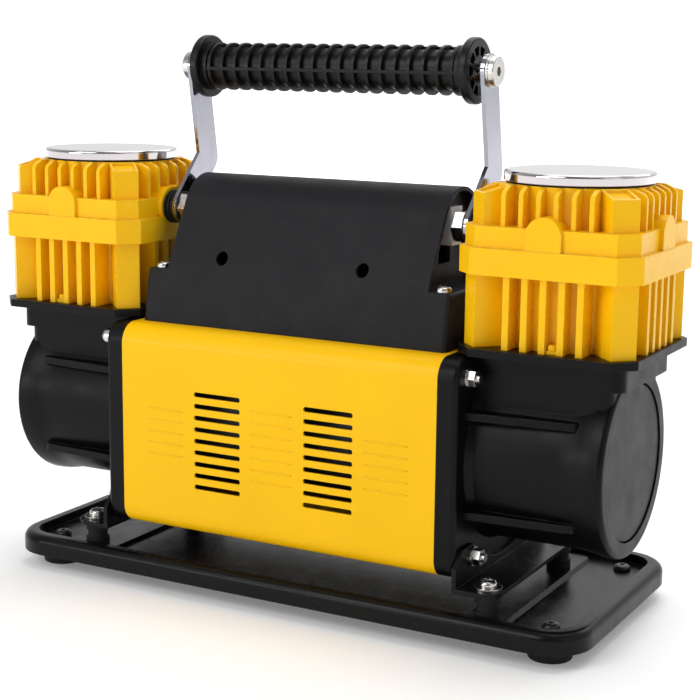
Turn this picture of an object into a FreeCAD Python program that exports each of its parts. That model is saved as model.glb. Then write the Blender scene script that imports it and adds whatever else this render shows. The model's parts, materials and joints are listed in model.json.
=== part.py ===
import FreeCAD, Part
import math
import os

# Twin stack compressor: an electric motor lies along X between two crankcases, and each
# crankcase carries an upright finned cylinder. Right is +X, the front is -Y, up is +Z, and the
# origin is on the ground under the middle of the base tray. All sizes are in millimetres.
# Shapes are built for the right-hand (+X) side and mirrored in X for the left.

# ---- main layout ----
CRANK_Y = -13.0          # motor shaft and cylinders, forward of the tray's middle
CRANK_Z = 102.0          # height of the motor shaft
CYL_X = 156.5            # distance of each cylinder axis from the middle
THROW = 8.0              # crank radius, half of the stroke
FIT = 0.05               # radial clearance of running fits
HOLE_GAP = 0.2           # radial clearance of bolt holes
SIDES = ("left", "right")

# ---- base tray, feet and mounting brackets ----
TRAY_HALF_X, TRAY_HALF_Y = 190.0, 82.5
TRAY_CORNER_R = 25.0
TRAY_LIP_Z, TRAY_FLOOR_Z, TRAY_RIM_Z = 9.5, 16.0, 21.5
TRAY_SHEET = 1.6
RIM_WIDTH = 9.0
TRAY_EDGE_R = 5.0        # rolled outer edge of the rim
BAND_X = (117.0, 144.0)
BAND_RISE, BAND_INSET, BAND_CORNER_R = 2.0, 6.0, 5.0
FOOT_X, FOOT_Y = 166.0, 57.5
FOOT_TOP_R, FOOT_BASE_R, FOOT_RECESS_R = 13.5, 12.25, 5.5
FOOT_SCREW_HEAD = (5.2, 3.4)  # radius and height
BRACKET_T = 2.5
BRACKET_X_END = 141.5
BRACKET_HALF_Y = 65.0
BRACKET_Z = 33.0
BRACKET_TAB_Z = 55.5      # top of the bracket's upright plate
BRACKET_ARCH_R = 62.5
ISOLATOR_X, ISOLATOR_Y, ISOLATOR_R, ISOLATOR_WAIST = 132.0, 53.0, 7.2, 1.2
BRACKET_SCREW_HEAD = (5.0, 3.6)
BRACKET_CHAMFER, BRACKET_CORNER_R = 9.0, 10.0
SCREW_R = 2.5
WASHER_T, WASHER_R = 1.2, 8.0

# ---- motor housing ----
COVER_HALF_X = 103.8
COVER_HALF_Y = 63.0
COVER_Z = (38.0, 161.0)
COVER_CORNER_R = 12.0
COVER_T = 1.2
FRAME_X = 115.7          # outer face of the end frames
VENT_X = (21.1, 52.7)
VENT_COUNT, VENT_PITCH, VENT_TOP_Z, VENT_H = 9, 6.94, 123.8, 2.9
TIE_UPPER = (-50.0, 150.0)
TIE_LOWER = (-43.0, 48.5)
TIE_HEAD_R, TIE_HEAD_H, TIE_NUT_R, TIE_NUT_H, TIE_WASHER_R, TIE_END = 4.8, 9.0, 4.8, 4.4, 5.6, 6.5

# ---- motor ----
CAN_R, CAN_BORE_R = 46.0, 43.5
ROTOR_R = 33.0
MAGNET_BORE_R = 33.8
CORE_HALF_X = 36.0
MAGNET_GAP = 8.0         # between neighbouring magnets
CORE_SLOT_COUNT, CORE_SLOT_W, CORE_SLOT_DEPTH = 12, 4.4, 14.0
WINDING_W, WINDING_INSET = 8.0, 5.0
SHAFT_R = 7.5
BEARING_R, BEARING_W = 17.5, 11.0
COMMUTATOR_R = 14.0
COMMUTATOR_X = (-66.0, -48.0)
SHAFT_END_X = 140.0
BRUSH_OUTER_Y = 36.0     # outer end of the brushes, from the shaft
BRUSH_HALF_Z, BRUSH_W, HOLDER_T, HOLDER_BORE_R = 4.0, 10.0, 4.0, 22.0

# ---- crankcase ----
DRUM_R, COLLAR_R = 51.0, 53.4
FLARE_X, COLLAR_X, DRUM_END_X = 174.0, 186.0, 194.0
FLARE_BLEND_R = 50.0     # how softly the flare leaves the barrel
ROOT_R, ROOT_W = 53.0, 4.5
CHAMBER_R, CHAMBER_WALL = 46.0, 5.0
RIB_Z, RIB_H, RIB_END_X = (126.8, 71.2), 4.2, 177.0
RIB_REACH = (52.0, 47.0)  # how far the ribs stand out at the frame and at their tip
FLANGE_HALF_X, FLANGE_HALF_Y, FLANGE_CUT = 51.0, 53.0, 11.0
FLANGE_Z = (162.0, 166.5)
BOLT_HOLE_FLOOR = 0.6    # metal left under the cylinder bolts
NECK_STEPS = ((189.5, 128.0), (193.0, 138.5), (199.0, 148.0))  # outer X and lower Z
NECK_HALF_Y, NECK_CORNER_R = 40.0, 7.0
THROAT_X, THROAT_HALF_Y, THROAT_TOP_Z = (124.0, 186.0), 33.0, 158.0
END_COVER_R, END_COVER_T = 44.2, 3.2

# ---- crank and pistons ----
CRANK_DISC_X, CRANK_DISC_R = (128.0, 140.0), 22.0
COUNTERWEIGHT_R, COUNTERWEIGHT_HALF_Y = 34.0, 24.0
CRANK_PIN_R, CRANK_PIN_END_X = 6.0, 148.0
BIG_END_R, BIG_END_X = 13.0, (148.3, 164.7)
ROD_LENGTH, CROWN_H = 88.0, 7.0
SEAL_LOW, SEAL_T, SEAL_INNER_R = 3.0, 2.0, 19.0

# ---- cylinder and head ----
BORE_R, LINER_R = 25.0, 27.0
CYL_HALF, CYL_CUT = 48.6, 10.0
CYL_Z = (166.5, 206.0)
BARREL_R = 41.5
FIN_COUNT, FIN_PITCH, FIN_T = 5, 10.4, 3.7
LUG_INSET, LUG_T = 1.5, 2.0
CYL_BOLT_R, CYL_BOLT_HEAD, CYL_BOLT_REACH = 2.0, (2.9, 3.0), 44.4
SKIRT_HALF, SKIRT_CUT, SKIRT_TOP_Z = 51.6, 10.7, 220.5
BAND_HALF, BAND_CUT, BAND_TOP_Z = 49.0, 9.5, 232.0
TIER_HALF, TIER_CUT = 46.5, 11.0
CUP_R = 40.0             # round wall of the filter room, behind the tier's fins
TIER_FIN_COUNT, TIER_FIN_PITCH, TIER_FIN_T = 6, 9.8, 2.6
TIER_FIN_TOP_Z, TIER_FIN_SHOULDER_R = 250.0, 4.0
POST_SLOPE, POST_SLOPE_START, POST_POCKET = 0.28, 43.0, 1.5
HEAD_TOP_Z = 253.2
FILTER_ROOM_R, FILTER_ROOM_Z = 37.0, 236.0
CAP_R, CAP_Z = 41.1, (254.4, 259.9)
PLATE_R, PLATE_TOP_Z = 34.0, 210.0
OUTLET_Y = -8.0          # outlet boss and handle pivot, forward of the cylinder axis
PIVOT_Z = 226.2
PIVOT_Y = CRANK_Y + OUTLET_Y

# ---- air manifold and handle ----
BLOCK_HALF_X, BLOCK_HALF_Y, BLOCK_HALF_Z = 88.0, 6.0, 10.7
PORT_R = 4.0             # thread radius of the ports in the block
ARM_X = (96.0, 98.4)
PIVOT_WASHER_X = ARM_X[0] - 1.0
PIVOT_R = 8.0
ARM_W = 19.5
ARM_BEND = (19.5, 255.5)  # Y from the crank plane, and Z
GRIP_AT = (CRANK_Y + 9.5, 311.2)  # Y and Z of the grip's axis
GRIP_R, GRIP_CORE_R, GRIP_FLANGE_R = 14.1, 11.4, 18.6
GRIP_END_X, GRIP_FLANGE_T = 91.2, 5.2
GRIP_RING_COUNT, GRIP_RING_PITCH, GRIP_RING_W = 19, 8.9, 2.0
GRIP_RIB_TURNS = (95, 215, 335)  # degrees about X, from upright
GRIP_RIB_W, GRIP_NECK_R, GRIP_NECK_W = 1.8, 14.5, 4.0
SPOKE_COUNT, SPOKE_W, POCKET_R, POCKET_DEPTH = 10, 1.8, (8.6, 13.7), 6.0
GRIP_ROD_R = 5.0

# ---- shroud over the manifold ----
HOOD_HALF_X, EAR_HALF_X = 86.3, 100.4
HOOD_T = 2.2
EAR_TOP_Z = 192.5
HOOD_ARC = (3.0, 221.6, 25.6)  # centre Y from the crank plane, centre Z, radius
HOOD_LEAN = math.radians(27.4)
SHROUD_SCREW = (93.0, -34.5, 22.0)
HOOD_FRONT = ((-46.5, 161.0), (-41.3, 192.0))  # foot and knee of the front, from the crank plane
KNEE_R = 60.0            # soft bend between the foot and the leaning front
EAR_CORNER_R = 3.0
HOOD_END_DEPTH = 6.0     # recess in each end of the hood
WINDOW_Z = (204.5, 239.0)
HOOD_HOLES = ((-50.0, 200.7), (43.5, 200.7))

# ---- switch, gland and outlet on the back ----
BACK_Y = CRANK_Y + HOOD_ARC[0] + HOOD_ARC[2]
SWITCH_X, SWITCH_Z = 48.0, 188.0
SWITCH_HALF_X, SWITCH_HALF_Z = 9.5, 13.0
ROCKER_AXIS_DEPTH, ROCKER_HUB_R, ROCKER_PIN_R = 3.0, 3.4, 1.5
ROCKER_TILT = 8.0
GLAND_X, GLAND_Z = -48.0, 180.0
OUTLET_STAGES = ((6.8, -9.0, 16.0), (9.5, 16.0, 24.0), (5.2, 24.0, 28.0), (6.4, 28.0, 31.0),
                 (4.6, 31.0, 34.0), (5.5, 34.0, 48.0))  # radius, and Y limits


# ---- building blocks ----
def vec(x, y, z):
    return FreeCAD.Vector(x, y, z)


def box(x, y, z):
    """A block between a low and a high value on each axis."""
    return Part.makeBox(x[1] - x[0], y[1] - y[0], z[1] - z[0], vec(x[0], y[0], z[0]))


def rod_x(radius, x, y, z):
    return Part.makeCylinder(radius, x[1] - x[0], vec(x[0], y, z), vec(1, 0, 0))


def rod_y(radius, x, y, z):
    return Part.makeCylinder(radius, y[1] - y[0], vec(x, y[0], z), vec(0, 1, 0))


def rod_z(radius, x, y, z):
    return Part.makeCylinder(radius, z[1] - z[0], vec(x, y, z[0]), vec(0, 0, 1))


def fuse(*shapes):
    return shapes[0].multiFuse(list(shapes[1:])).removeSplitter()


def group(*shapes):
    """Separate identical pieces kept together in one node."""
    return Part.makeCompound(list(shapes))


def mirror_x(shape):
    return shape.mirror(vec(0, 0, 0), vec(1, 0, 0))


def both_sides(shape):
    return [shape, mirror_x(shape)]


def prism_z(points, z):
    """An upright prism over a closed outline of (x, y) points."""
    corners = [vec(x, y, z[0]) for x, y in points]
    outline = Part.makePolygon(corners + corners[:1])
    return Part.Face(outline).extrude(vec(0, 0, z[1] - z[0]))


def upright_plate(points, half_w):
    """A plate over a closed outline of (x, z) points, centred on the plane of the X and Z axes."""
    corners = [vec(x, -half_w, z) for x, z in points]
    outline = Part.makePolygon(corners + corners[:1])
    return Part.Face(outline).extrude(vec(0, 2 * half_w, 0))


def octagon_points(half, cut):
    """A square of the given half width with its corners cut off, as (x, y) points."""
    inner = half - cut
    return [(half, -inner), (half, inner), (inner, half), (-inner, half),
            (-half, inner), (-half, -inner), (-inner, -half), (inner, -half)]


def edges_along(shape, direction):
    """The straight edges that run along a direction."""
    straight = [e for e in shape.Edges if isinstance(e.Curve, Part.Line)]
    return [e for e in straight if e.tangentAt(e.FirstParameter).cross(direction).Length < 1e-6]


def edges_at_x(shape, x):
    """The edges that lie wholly at one X value."""
    tolerance = 1e-4
    return [e for e in shape.Edges
            if abs(e.BoundBox.XMin - x) < tolerance and abs(e.BoundBox.XMax - x) < tolerance]


def edges_at_z(shape, z):
    """The edges that lie wholly at one Z value."""
    tolerance = 1e-4
    return [e for e in shape.Edges
            if abs(e.BoundBox.ZMin - z) < tolerance and abs(e.BoundBox.ZMax - z) < tolerance]


def rounded_slab(half_x, half_y, radius, z):
    slab = box((-half_x, half_x), (-half_y, half_y), z)
    return slab.makeFillet(radius, edges_along(slab, vec(0, 0, 1)))


def housing_bar(inset, x):
    """The motor housing's rounded section, drawn in by an inset, between two X values."""
    y = (CRANK_Y - COVER_HALF_Y + inset, CRANK_Y + COVER_HALF_Y - inset)
    z = (COVER_Z[0] + inset, COVER_Z[1] - inset)
    bar = box(x, y, z)
    return bar.makeFillet(COVER_CORNER_R - inset, edges_along(bar, vec(1, 0, 0)))


def hexagon_x(radius, x, y, z):
    """A hexagonal prism along X, with its corners on the given radius."""
    corners = []
    for step in range(6):
        angle = math.radians(60 * step)
        corners.append(vec(x[0], y + radius * math.cos(angle), z + radius * math.sin(angle)))
    outline = Part.makePolygon(corners + corners[:1])
    return Part.Face(outline).extrude(vec(x[1] - x[0], 0, 0))


def four_ways(x, y, make):
    """The same piece at four places, mirrored in X and about the given Y offsets."""
    return [make(side * x, place) for side in (-1, 1) for place in y]


# ---- base tray ----
def base_tray():
    """Pressed steel tray: a rolled rim round a floor with two raised bands under the brackets."""
    outer = rounded_slab(TRAY_HALF_X, TRAY_HALF_Y, TRAY_CORNER_R, (TRAY_LIP_Z, TRAY_RIM_Z))
    outer = outer.makeFillet(TRAY_EDGE_R, edges_at_z(outer, TRAY_RIM_Z))
    inner_r = TRAY_CORNER_R - RIM_WIDTH
    recess = rounded_slab(TRAY_HALF_X - RIM_WIDTH, TRAY_HALF_Y - RIM_WIDTH, inner_r,
                          (TRAY_FLOOR_Z, TRAY_RIM_Z + 1))
    tray = outer.cut(recess)
    under_floor = rounded_slab(TRAY_HALF_X - TRAY_SHEET, TRAY_HALF_Y - TRAY_SHEET,
                               TRAY_CORNER_R - TRAY_SHEET,
                               (TRAY_LIP_Z - 1, TRAY_FLOOR_Z - TRAY_SHEET))
    tray = tray.cut(under_floor)
    rim_roof = TRAY_RIM_Z - TRAY_SHEET - 1
    rim_outer = rounded_slab(TRAY_HALF_X - TRAY_SHEET, TRAY_HALF_Y - TRAY_SHEET,
                             TRAY_CORNER_R - TRAY_SHEET, (TRAY_LIP_Z, rim_roof))
    rim_outer = rim_outer.makeFillet(3.0, edges_at_z(rim_outer, rim_roof))
    inner_wall = RIM_WIDTH - TRAY_SHEET
    rim_inner = rounded_slab(TRAY_HALF_X - inner_wall, TRAY_HALF_Y - inner_wall,
                             TRAY_CORNER_R - inner_wall, (TRAY_LIP_Z - 1, rim_roof + 1))
    tray = tray.cut(rim_outer.cut(rim_inner))
    band_end = TRAY_HALF_Y - RIM_WIDTH - BAND_INSET
    band_y = (-band_end, band_end)
    band = box(BAND_X, band_y, (TRAY_FLOOR_Z, TRAY_FLOOR_Z + BAND_RISE))
    band = band.makeFillet(BAND_CORNER_R, edges_along(band, vec(0, 0, 1)))
    band = band.makeChamfer(BAND_RISE * 0.9, edges_at_z(band, TRAY_FLOOR_Z + BAND_RISE))
    hollow_x = (BAND_X[0] + 3, BAND_X[1] - 3)
    hollow_y = (band_y[0] + 3, band_y[1] - 3)
    hollow = box(hollow_x, hollow_y, (TRAY_FLOOR_Z - TRAY_SHEET - 1, TRAY_FLOOR_Z + 0.4))
    tray = fuse(tray, *both_sides(band)).cut(both_sides(hollow))
    screw_holes = four_ways(FOOT_X, (-FOOT_Y, FOOT_Y),
                            lambda x, y: rod_z(SCREW_R + HOLE_GAP, x, y, (10, 20)))
    stud_holes = four_ways(ISOLATOR_X, (CRANK_Y - ISOLATOR_Y, CRANK_Y + ISOLATOR_Y),
                           lambda x, y: rod_z(SCREW_R + HOLE_GAP, x, y, (10, 20)))
    return tray.cut(screw_holes + stud_holes)


def rubber_foot(x, y):
    """Tapered rubber foot with a screw hole and a recess for the screw's end."""
    top_z = TRAY_FLOOR_Z - TRAY_SHEET
    foot = Part.makeCone(FOOT_BASE_R, FOOT_TOP_R, top_z, vec(x, y, 0), vec(0, 0, 1))
    foot = foot.makeFillet(1.2, edges_at_z(foot, 0))
    recess_top = 4.0
    return foot.cut([rod_z(SCREW_R, x, y, (recess_top - 1, top_z + 1)),
                     rod_z(FOOT_RECESS_R, x, y, (-1, recess_top))])


def foot_screw(x, y):
    """Dome-head screw from the tray floor down into the rubber foot."""
    head_r, head_h = FOOT_SCREW_HEAD
    top_z = TRAY_FLOOR_Z + head_h
    head = rod_z(head_r, x, y, (TRAY_FLOOR_Z, top_z))
    head = head.makeFillet(head_r / 2, edges_at_z(head, top_z))
    half, depth = 1.4, 1.6
    socket = box((x - half, x + half), (y - half, y + half), (top_z - depth, top_z + 1))
    tip_z = 5.0
    return fuse(head.cut(socket), rod_z(SCREW_R, x, y, (tip_z, TRAY_FLOOR_Z)))


def isolator(x, y):
    """Rubber bush, narrower at its middle, between the tray and a mounting bracket."""
    z = (TRAY_FLOOR_Z + BAND_RISE, BRACKET_Z)
    bush = rod_z(ISOLATOR_R, x, y, z)
    end_h = 5.0
    waist = rod_z(ISOLATOR_R + 1, x, y, (z[0] + end_h, z[1] - end_h))
    waist = waist.cut(rod_z(ISOLATOR_R - ISOLATOR_WAIST, x, y, z))
    return bush.cut([waist, rod_z(SCREW_R, x, y, z)])


def bracket_screw(x, y):
    """Pan-head screw through bracket, bush and tray, with a cross recess."""
    head_r, head_h = BRACKET_SCREW_HEAD
    seat_z = BRACKET_Z + BRACKET_T + WASHER_T
    top_z = seat_z + head_h
    head = rod_z(head_r, x, y, (seat_z, top_z))
    head = head.makeFillet(2.4, edges_at_z(head, top_z))
    reach, half_w, depth = 2.6, 0.5, 1.4
    slot_z = (top_z - depth, top_z + 1)
    cross = [box((x - reach, x + reach), (y - half_w, y + half_w), slot_z),
             box((x - half_w, x + half_w), (y - reach, y + reach), slot_z)]
    tip_z = 11.5
    return fuse(head.cut(cross), rod_z(SCREW_R, x, y, (tip_z, seat_z)))


def bracket_washer(x, y):
    z = (BRACKET_Z + BRACKET_T, BRACKET_Z + BRACKET_T + WASHER_T)
    return rod_z(WASHER_R, x, y, z).cut(rod_z(SCREW_R + 0.1, x, y, z))


def bracket():
    """Folded steel bracket: an upright plate arched round the crankcase and a foot flange."""
    low_z, tab_z = BRACKET_Z, BRACKET_TAB_Z
    arch_half_y = math.sqrt(BRACKET_ARCH_R ** 2 - (CRANK_Z - tab_z) ** 2)
    x = FRAME_X
    side = [vec(x, -arch_half_y, tab_z), vec(x, -BRACKET_HALF_Y + BRACKET_CHAMFER, tab_z),
            vec(x, -BRACKET_HALF_Y, tab_z - BRACKET_CHAMFER), vec(x, -BRACKET_HALF_Y, low_z)]
    far_side = [vec(x, -p.y, p.z) for p in reversed(side)]
    arch = Part.Arc(far_side[-1], vec(x, 0, CRANK_Z - BRACKET_ARCH_R), side[0])
    outline = Part.Wire([arch.toShape()] + Part.makePolygon(side + far_side).Edges)
    plate = Part.Face(outline).extrude(vec(BRACKET_T, 0, 0))
    flange = box((x, BRACKET_X_END), (-BRACKET_HALF_Y, BRACKET_HALF_Y), (low_z, low_z + BRACKET_T))
    corners = [e for e in edges_along(flange, vec(0, 0, 1)) if e.BoundBox.XMin > x + 1]
    flange = flange.makeFillet(BRACKET_CORNER_R, corners)
    shape = fuse(plate, flange)
    shape.translate(vec(0, CRANK_Y, 0))
    holes = []
    for side_y in (-1, 1):
        y = CRANK_Y + side_y * ISOLATOR_Y
        holes.append(rod_z(SCREW_R + HOLE_GAP, ISOLATOR_X, y, (low_z - 1, low_z + 4)))
        y = CRANK_Y + side_y * TIE_LOWER[0]
        holes.append(rod_x(SCREW_R + HOLE_GAP, (x - 1, x + 4), y, TIE_LOWER[1]))
    return shape.cut(holes)


# ---- motor housing ----
def tie_places():
    """(y, z, outer seat X) of the four tie bolts; the lower ones also clamp the brackets."""
    places = []
    for side_y in (-1, 1):
        places.append((CRANK_Y + side_y * TIE_UPPER[0], TIE_UPPER[1], FRAME_X))
        places.append((CRANK_Y + side_y * TIE_LOWER[0], TIE_LOWER[1], FRAME_X + BRACKET_T))
    return places


def vent_slot(x, z):
    """Tool for one louvre slot through the front and rear walls of the cover."""
    y = (CRANK_Y - COVER_HALF_Y - 1, CRANK_Y + COVER_HALF_Y + 1)
    slot = box(x, y, (z - VENT_H / 2, z + VENT_H / 2))
    return slot.makeFillet(VENT_H * 0.45, edges_along(slot, vec(0, 1, 0)))


def motor_cover():
    """Yellow sheet cover wrapped round the motor, with louvre slots front and back."""
    cover = housing_bar(0, (-COVER_HALF_X, COVER_HALF_X))
    cover = cover.cut(housing_bar(COVER_T, (-COVER_HALF_X - 1, COVER_HALF_X + 1)))
    slots = []
    for row in range(VENT_COUNT):
        slot = vent_slot(VENT_X, VENT_TOP_Z - row * VENT_PITCH)
        slots += both_sides(slot)
    screws = [rod_z(2 + HOLE_GAP, x, y, (150, 170)) for x, y in shroud_screw_places()]
    return cover.cut(slots + screws)


def end_frame():
    """Cast end plate that holds a shaft bearing and takes the tie bolts."""
    frame = housing_bar(0, (COVER_HALF_X, FRAME_X))
    frame = frame.makeFillet(3.0, edges_at_x(frame, FRAME_X))
    seat = rod_x(BEARING_R, (COVER_HALF_X - 1, COVER_HALF_X + BEARING_W), CRANK_Y, CRANK_Z)
    passage = rod_x(BEARING_R - 5, (COVER_HALF_X, FRAME_X + 1), CRANK_Y, CRANK_Z)
    holes = [rod_x(SCREW_R + HOLE_GAP, (COVER_HALF_X - 1, FRAME_X + 1), y, z)
             for y, z, seat_x in tie_places()]
    return frame.cut([seat, passage] + holes)


def tie_bolt(y, z, seat_x):
    """Long bolt from a domed head on the left to a nut on the right."""
    face = seat_x + WASHER_T
    head_x = -face - TIE_HEAD_H
    head = rod_x(TIE_HEAD_R, (head_x, -face), y, z)
    head = head.makeFillet(2.8, edges_at_x(head, head_x))
    return fuse(head, rod_x(SCREW_R, (-face, face + TIE_END), y, z))


def tie_nut(y, z, seat_x):
    face = seat_x + WASHER_T
    nut = hexagon_x(TIE_NUT_R, (face, face + TIE_NUT_H), y, z)
    return nut.cut(rod_x(SCREW_R, (face - 1, face + TIE_END), y, z))


def tie_washer(y, z, seat_x):
    washer = rod_x(TIE_WASHER_R, (seat_x, seat_x + WASHER_T), y, z)
    return washer.cut(rod_x(SCREW_R + 0.1, (seat_x - 1, seat_x + 2), y, z))


# ---- motor ----
def motor_can():
    x = (-COVER_HALF_X, COVER_HALF_X)
    return rod_x(CAN_R, x, CRANK_Y, CRANK_Z).cut(rod_x(CAN_BORE_R, x, CRANK_Y, CRANK_Z))


def stator_magnets():
    """Four curved magnets on the inside of the motor can."""
    x = (-CORE_HALF_X, CORE_HALF_X)
    ring = rod_x(CAN_BORE_R, x, CRANK_Y, CRANK_Z).cut(rod_x(MAGNET_BORE_R, x, CRANK_Y, CRANK_Z))
    reach, half = CAN_BORE_R + 1, MAGNET_GAP / 2
    x_gap = (-CORE_HALF_X - 1, CORE_HALF_X + 1)
    bars = [box(x_gap, (CRANK_Y - half, CRANK_Y + half), (CRANK_Z - reach, CRANK_Z + reach)),
            box(x_gap, (CRANK_Y - reach, CRANK_Y + reach), (CRANK_Z - half, CRANK_Z + half))]
    return ring.cut(bars)


def shaft_bearing():
    x = (COVER_HALF_X, COVER_HALF_X + BEARING_W)
    return rod_x(BEARING_R, x, CRANK_Y, CRANK_Z).cut(rod_x(SHAFT_R + FIT, x, CRANK_Y, CRANK_Z))


def brush_holder():
    """Insulating ring plate that carries two brush boxes."""
    plate_x = (COMMUTATOR_X[0] - 2 * HOLDER_T, COMMUTATOR_X[0] - HOLDER_T)
    plate = rod_x(CAN_BORE_R, plate_x, CRANK_Y, CRANK_Z)
    plate = plate.cut(rod_x(HOLDER_BORE_R, plate_x, CRANK_Y, CRANK_Z))
    wall = 2.0
    box_x = (plate_x[0], COMMUTATOR_X[0] + BRUSH_W + 2 * wall)
    box_z = (CRANK_Z - BRUSH_HALF_Z - wall, CRANK_Z + BRUSH_HALF_Z + wall)
    boxes = []
    for side_y in (-1, 1):
        ends = (HOLDER_BORE_R + wall, BRUSH_OUTER_Y + wall)
        boxes.append(box(box_x, sorted(CRANK_Y + side_y * end for end in ends), box_z))
    return fuse(plate, *boxes).cut([brush_block(side_y, 0.0) for side_y in (-1, 1)])


def brush_block(side_y, gap):
    """One carbon brush, with its inner end held off the commutator by a gap."""
    ends = (COMMUTATOR_R + gap, BRUSH_OUTER_Y)
    x = (COMMUTATOR_X[0] + 2, COMMUTATOR_X[0] + 2 + BRUSH_W)
    z = (CRANK_Z - BRUSH_HALF_Z, CRANK_Z + BRUSH_HALF_Z)
    return box(x, sorted(CRANK_Y + side_y * end for end in ends), z)


def carbon_brushes():
    clear = rod_x(COMMUTATOR_R + FIT, (COMMUTATOR_X[0], COMMUTATOR_X[1]), CRANK_Y, CRANK_Z)
    return group(*[brush_block(side_y, FIT).cut(clear) for side_y in (-1, 1)])


def motor_shaft():
    return rod_x(SHAFT_R, (-SHAFT_END_X, SHAFT_END_X), CRANK_Y, CRANK_Z)


def on_shaft(radius, x):
    """A round piece pressed on the motor shaft."""
    return rod_x(radius, x, CRANK_Y, CRANK_Z).cut(rod_x(SHAFT_R, x, CRANK_Y, CRANK_Z))


def armature_core():
    """Laminated rotor core with winding slots round its rim."""
    x = (-CORE_HALF_X, CORE_HALF_X)
    core = on_shaft(ROTOR_R, x)
    slots = []
    half_w = CORE_SLOT_W / 2
    for index in range(CORE_SLOT_COUNT):
        slot = box((x[0] - 1, x[1] + 1), (-half_w, half_w), (ROTOR_R - CORE_SLOT_DEPTH, ROTOR_R + 1))
        slot.rotate(vec(0, 0, 0), vec(1, 0, 0), 360.0 / CORE_SLOT_COUNT * index)
        slot.translate(vec(0, CRANK_Y, CRANK_Z))
        slots.append(slot)
    return core.cut(slots)


def armature_windings():
    """A block of wire turns at each end of the core."""
    end_x = CORE_HALF_X + WINDING_W
    coil = on_shaft(ROTOR_R - WINDING_INSET, (CORE_HALF_X, end_x))
    rim = [e for e in edges_at_x(coil, end_x) if e.Curve.Radius > SHAFT_R + 1]
    return group(*both_sides(coil.makeFillet(4.0, rim)))


def commutator():
    return on_shaft(COMMUTATOR_R, COMMUTATOR_X)


def crank_disc(pin_side):
    """Balanced crank disc; its pin stands a crank radius above or below the shaft."""
    x = CRANK_DISC_X
    disc = rod_x(CRANK_DISC_R, x, CRANK_Y, CRANK_Z)
    z = sorted((CRANK_Z, CRANK_Z - pin_side * COUNTERWEIGHT_R))
    y = (CRANK_Y - COUNTERWEIGHT_HALF_Y, CRANK_Y + COUNTERWEIGHT_HALF_Y)
    weight = rod_x(COUNTERWEIGHT_R, x, CRANK_Y, CRANK_Z).common(box(x, y, z))
    pin = rod_x(CRANK_PIN_R, (x[1], CRANK_PIN_END_X), CRANK_Y, CRANK_Z + pin_side * THROW)
    return fuse(disc, weight, pin).cut(rod_x(SHAFT_R, x, CRANK_Y, CRANK_Z))


# ---- crankcase ----
def neck_step(end_x, z):
    """A block of the neck from the end frame out to end_x, with rounded outer corners."""
    y = (CRANK_Y - NECK_HALF_Y, CRANK_Y + NECK_HALF_Y)
    block = box((FRAME_X, end_x), y, z)
    outer = [e for e in edges_along(block, vec(0, 0, 1)) if e.BoundBox.XMin > end_x - 1]
    return block.makeFillet(NECK_CORNER_R, outer)


def neck():
    """Stepped block between drum and flange, wider towards the top."""
    tops = [low for end, low in NECK_STEPS[1:]] + [FLANGE_Z[0]]
    return [neck_step(end, (low, top)) for (end, low), top in zip(NECK_STEPS, tops)]


def drum():
    """The crankcase barrel, flared at its root and towards its open end."""
    along = vec(1, 0, 0)
    barrel = rod_x(DRUM_R, (FRAME_X, FLARE_X), CRANK_Y, CRANK_Z)
    root = Part.makeCone(ROOT_R, DRUM_R, ROOT_W, vec(FRAME_X, CRANK_Y, CRANK_Z), along)
    flare = Part.makeCone(DRUM_R, COLLAR_R, COLLAR_X - FLARE_X,
                          vec(FLARE_X, CRANK_Y, CRANK_Z), along)
    collar = rod_x(COLLAR_R, (COLLAR_X, DRUM_END_X), CRANK_Y, CRANK_Z)
    body = fuse(barrel, root, flare, collar)
    body = body.makeFillet(FLARE_BLEND_R, edges_at_x(body, FLARE_X) + edges_at_x(body, COLLAR_X))
    return body.makeFillet(3.0, edges_at_x(body, DRUM_END_X))


def drum_rib(side_y, z):
    """Rib along the drum that tapers away from the end frame to a rounded tip."""
    inner = 30.0
    outline = [(FRAME_X, inner), (RIB_END_X, inner), (RIB_END_X, RIB_REACH[1]),
               (FRAME_X, RIB_REACH[0])]
    rib = prism_z([(x, CRANK_Y + side_y * y) for x, y in outline], (z, z + RIB_H))
    tip_y = CRANK_Y + side_y * RIB_REACH[1]
    tip = [e for e in edges_along(rib, vec(0, 0, 1))
           if e.BoundBox.XMin > RIB_END_X - 1 and abs(e.BoundBox.YMin - tip_y) < 1]
    return rib.makeFillet(3.5, tip)


def crankcase_flange():
    """Flat flange under the cylinder, an octagon a little deeper than it is wide."""
    flange = prism_z(octagon_points(FLANGE_HALF_X, FLANGE_CUT), FLANGE_Z)
    stretch = FreeCAD.Matrix()
    stretch.scale(1, FLANGE_HALF_Y / FLANGE_HALF_X, 1)
    flange = flange.transformGeometry(stretch)
    flange.translate(vec(CYL_X, CRANK_Y, 0))
    return flange


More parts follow.
